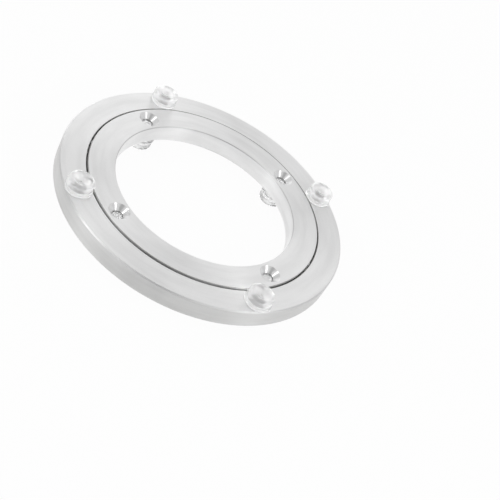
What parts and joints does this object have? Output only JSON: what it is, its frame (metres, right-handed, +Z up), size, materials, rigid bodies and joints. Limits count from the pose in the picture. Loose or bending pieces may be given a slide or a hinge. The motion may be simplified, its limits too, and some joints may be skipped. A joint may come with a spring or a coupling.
{
  "type": "lazy susan bearing",
  "caption": "Flat turntable bearing: an outer ring turns on balls round an inner ring that stands on clear feet, with clear pads on top to carry a round plate.",
  "frame": {"origin": "on the ring axis, in the plane that the feet stand on", "axes": "+Z up along the ring axis; X and Y pass midway between the top pads"},
  "size_m": [0.12, 0.12, 0.018],
  "materials": {
    "outer_ring_aluminium": "satin anodised, fine turned grain",
    "inner_ring_aluminium": "satin anodised, fine turned grain, polished sinks",
    "plug_steel": "plain steel, turned",
    "ball_steel": "polished bearing steel",
    "spacer_plastic": "natural nylon, smooth",
    "clear_rubber": "clear moulded silicone, glossy"
  },
  "bodies": {
    "standing_ring": {"inner_ring": "inner_ring_aluminium", "fill_plug": "plug_steel", "foot_1": "clear_rubber", "foot_2": "clear_rubber", "foot_3": "clear_rubber", "foot_4": "clear_rubber"},
    "turning_ring": {"outer_ring": "outer_ring_aluminium", "top_pad_1": "clear_rubber", "top_pad_2": "clear_rubber", "top_pad_3": "clear_rubber", "top_pad_4": "clear_rubber"},
    "ball_row": {"steel_ball_01": "ball_steel", "steel_ball_02": "ball_steel", "steel_ball_03": "ball_steel", "steel_ball_04": "ball_steel", "steel_ball_05": "ball_steel", "steel_ball_06": "ball_steel", "steel_ball_07": "ball_steel", "steel_ball_08": "ball_steel", "steel_ball_09": "ball_steel", "steel_ball_10": "ball_steel", "steel_ball_11": "ball_steel", "steel_ball_12": "ball_steel", "steel_ball_13": "ball_steel", "steel_ball_14": "ball_steel", "steel_ball_15": "ball_steel", "steel_ball_16": "ball_steel", "steel_ball_17": "ball_steel", "steel_ball_18": "ball_steel", "steel_ball_19": "ball_steel", "steel_ball_20": "ball_steel", "steel_ball_21": "ball_steel", "steel_ball_22": "ball_steel", "steel_ball_23": "ball_steel", "steel_ball_24": "ball_steel", "steel_ball_25": "ball_steel", "steel_ball_26": "ball_steel", "steel_ball_27": "ball_steel", "steel_ball_28": "ball_steel", "steel_ball_29": "ball_steel", "steel_ball_30": "ball_steel", "steel_ball_31": "ball_steel", "steel_ball_32": "ball_steel", "steel_ball_33": "ball_steel", "steel_ball_34": "ball_steel", "steel_ball_35": "ball_steel", "steel_ball_36": "ball_steel", "steel_ball_37": "ball_steel", "steel_ball_38": "ball_steel", "spacer_balls": "spacer_plastic"}
  },
  "joints": [
    {"name": "turn", "type": "hinge", "parent": "standing_ring", "child": "turning_ring", "pos_m": [0, 0, 0.009], "axis": [0, 0, 1], "continuous": true},
    {"name": "ball_row_turn", "type": "hinge", "parent": "standing_ring", "child": "ball_row", "pos_m": [0, 0, 0.009], "axis": [0, 0, 1], "continuous": true}
  ],
  "couplings": [
    {"joint": "ball_row_turn", "follows": "turn", "ratio": 0.52033}
  ]
}
